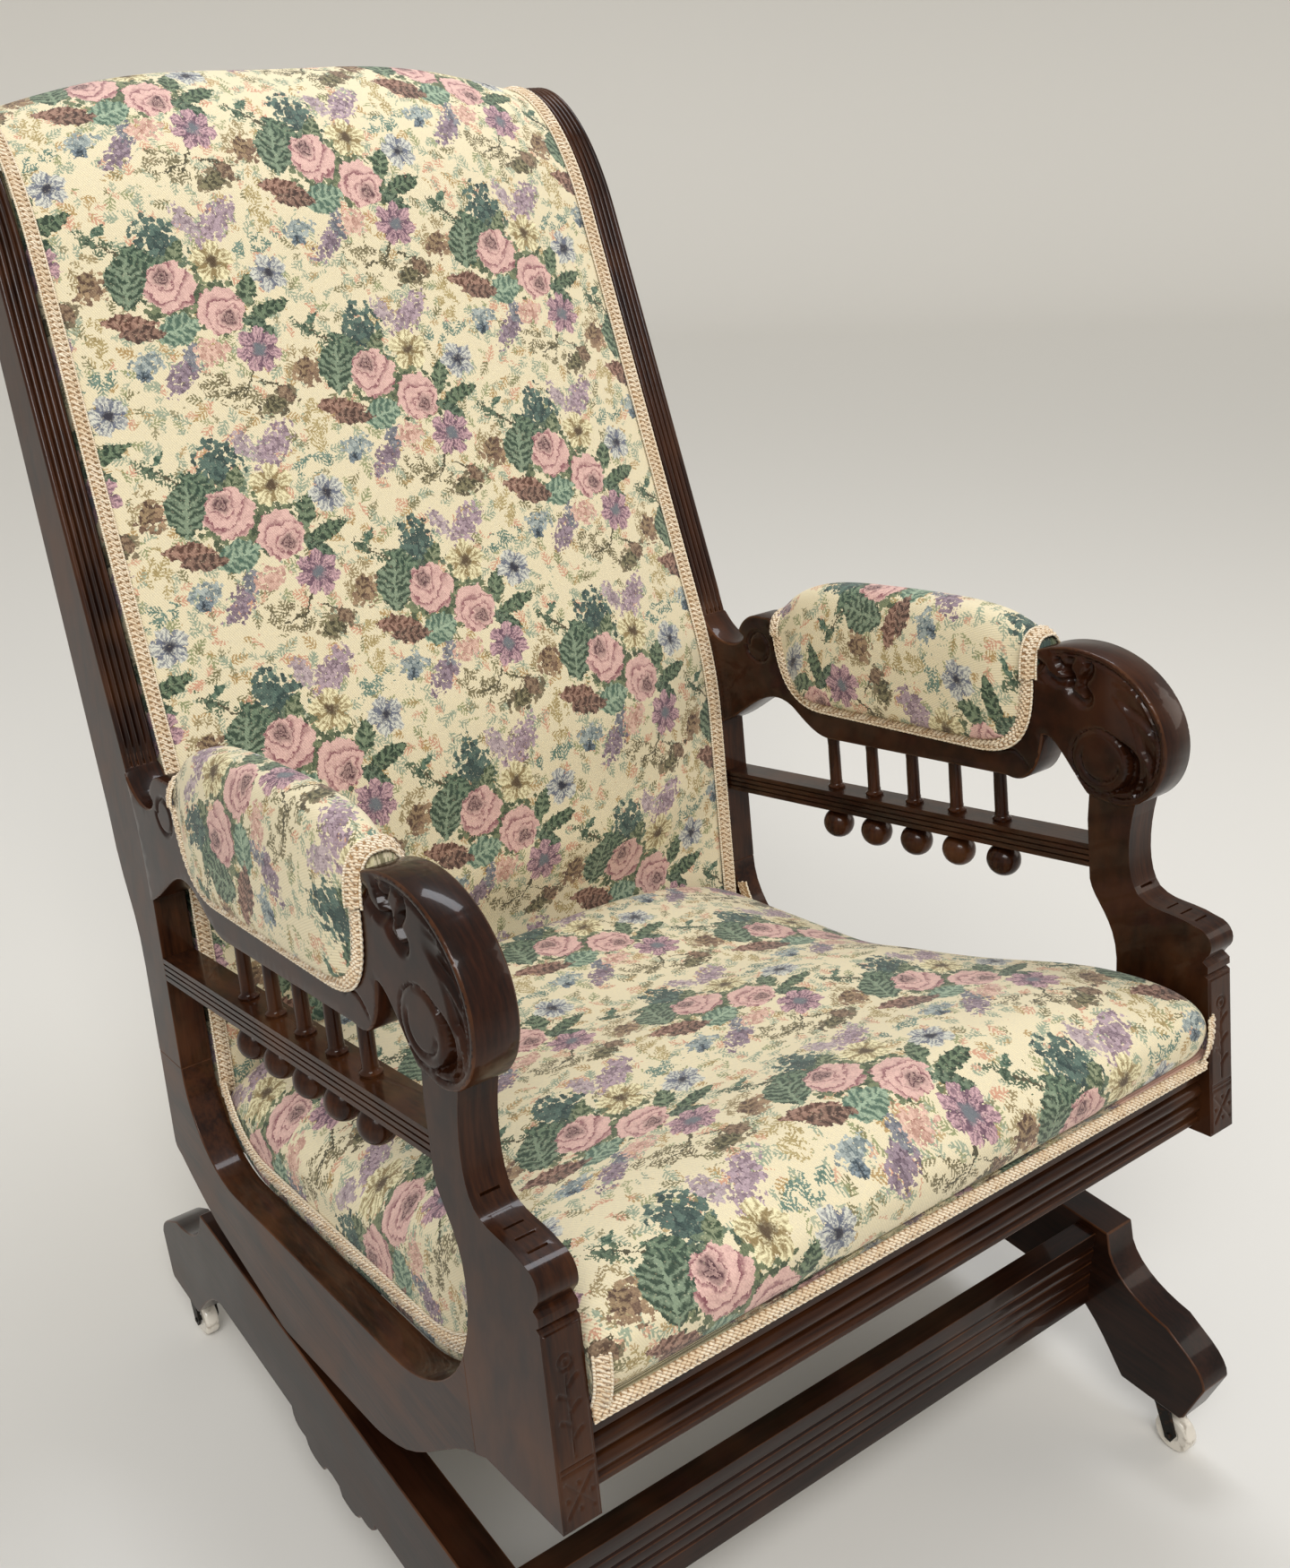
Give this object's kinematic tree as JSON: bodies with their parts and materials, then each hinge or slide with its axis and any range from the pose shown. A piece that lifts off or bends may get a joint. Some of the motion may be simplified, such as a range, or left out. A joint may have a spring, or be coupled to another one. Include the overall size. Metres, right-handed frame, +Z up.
{
  "type": "platform rocking chair",
  "caption": "Upholstered platform rocking chair: a padded frame with scroll arms rocks on a sprung wooden base with castors.",
  "frame": {"origin": "on the floor, under the middle of the whole chair's bounding box", "axes": "+Z up, -Y is the way the sitter faces, +X is to the right of someone who faces the chair, and the pieces' left and right follow that; units are metres"},
  "size_m": [0.6254, 0.921, 1.0314],
  "materials": {
    "dark_mahogany": "dark red-brown stained mahogany, polished to a semi-gloss",
    "plain_beech": "unfinished hardwood hidden by the cloth",
    "floral_tapestry": "woven cotton tapestry, cream ground with roses and leaves, matte",
    "gimp_braid": "woven beige gimp braid with pale cord edges",
    "plain_backing_cloth": "plain cream cotton, matte",
    "jute_webbing": "woven jute",
    "black_lining": "thin black lining cloth",
    "blackened_iron": "blackened iron, worn",
    "spring_steel": "dull oil-blackened spring steel",
    "glazed_white_china": "white glazed china"
  },
  "bodies": {
    "base": {"base_rail_left": "dark_mahogany", "base_rail_right": "dark_mahogany", "front_stretcher": "dark_mahogany", "rear_stretcher": "dark_mahogany", "castor_plates": "blackened_iron", "base_brackets": "blackened_iron", "base_bracket_screws": "blackened_iron", "rocker_springs_left": "spring_steel", "rocker_springs_right": "spring_steel"},
    "rocking_frame": {"rocker_left": "dark_mahogany", "rocker_right": "dark_mahogany", "front_post_left": "dark_mahogany", "front_post_right": "dark_mahogany", "back_post_left": "dark_mahogany", "back_post_right": "dark_mahogany", "arm_left": "dark_mahogany", "arm_right": "dark_mahogany", "arm_pad_left": "floral_tapestry", "arm_pad_right": "floral_tapestry", "arm_gimp_left": "gimp_braid", "arm_gimp_right": "gimp_braid", "gallery_rail_left": "dark_mahogany", "gallery_rail_right": "dark_mahogany", "spindles_left": "dark_mahogany", "spindles_right": "dark_mahogany", "ball_drops_left": "dark_mahogany", "ball_drops_right": "dark_mahogany", "front_seat_rail": "dark_mahogany", "rear_seat_rail": "plain_beech", "side_seat_rails": "plain_beech", "corner_blocks": "plain_beech", "seat_webbing": "jute_webbing", "dust_cover": "black_lining", "seat_cushion": "floral_tapestry", "seat_front_gimp": "gimp_braid", "seat_side_gimps": "gimp_braid", "lower_back_rail": "plain_beech", "crest_rail": "dark_mahogany", "back_webbing": "jute_webbing", "back_cushion": "floral_tapestry", "back_gimps": "gimp_braid", "outside_back": "plain_backing_cloth", "rocker_brackets": "blackened_iron", "rocker_bracket_screws": "blackened_iron"},
    "castor_front_left": {"castor_fork_front_left": "blackened_iron", "castor_axle_front_left": "blackened_iron"},
    "wheel_front_left": {"castor_wheel_front_left": "glazed_white_china"},
    "castor_front_right": {"castor_fork_front_right": "blackened_iron", "castor_axle_front_right": "blackened_iron"},
    "wheel_front_right": {"castor_wheel_front_right": "glazed_white_china"},
    "castor_rear_left": {"castor_fork_rear_left": "blackened_iron", "castor_axle_rear_left": "blackened_iron"},
    "wheel_rear_left": {"castor_wheel_rear_left": "glazed_white_china"},
    "castor_rear_right": {"castor_fork_rear_right": "blackened_iron", "castor_axle_rear_right": "blackened_iron"},
    "wheel_rear_right": {"castor_wheel_rear_right": "glazed_white_china"}
  },
  "joints": [
    {"name": "rocking", "type": "hinge", "parent": "base", "child": "rocking_frame", "pos_m": [0, -0.08452, 0.207], "axis": [1, 0, 0], "range_deg": [-8, 10], "stiffness_Nm_per_rad": 400, "springref_deg": 2.03, "deforming": ["rocker_springs_left", "rocker_springs_right"]},
    {"name": "swivel_front_left", "type": "hinge", "parent": "base", "child": "castor_front_left", "pos_m": [-0.286, -0.42549, 0.05], "axis": [0, 0, 1], "continuous": true},
    {"name": "roll_front_left", "type": "hinge", "parent": "castor_front_left", "child": "wheel_front_left", "pos_m": [-0.286, -0.43549, 0.015], "axis": [1, 0, 0], "continuous": true},
    {"name": "swivel_front_right", "type": "hinge", "parent": "base", "child": "castor_front_right", "pos_m": [0.286, -0.42549, 0.05], "axis": [0, 0, 1], "continuous": true},
    {"name": "roll_front_right", "type": "hinge", "parent": "castor_front_right", "child": "wheel_front_right", "pos_m": [0.286, -0.43549, 0.015], "axis": [1, 0, 0], "continuous": true},
    {"name": "swivel_rear_left", "type": "hinge", "parent": "base", "child": "castor_rear_left", "pos_m": [-0.286, 0.12451, 0.05], "axis": [0, 0, 1], "continuous": true},
    {"name": "roll_rear_left", "type": "hinge", "parent": "castor_rear_left", "child": "wheel_rear_left", "pos_m": [-0.286, 0.11451, 0.015], "axis": [1, 0, 0], "continuous": true},
    {"name": "swivel_rear_right", "type": "hinge", "parent": "base", "child": "castor_rear_right", "pos_m": [0.286, 0.12451, 0.05], "axis": [0, 0, 1], "continuous": true},
    {"name": "roll_rear_right", "type": "hinge", "parent": "castor_rear_right", "child": "wheel_rear_right", "pos_m": [0.286, 0.11451, 0.015], "axis": [1, 0, 0], "continuous": true}
  ]
}
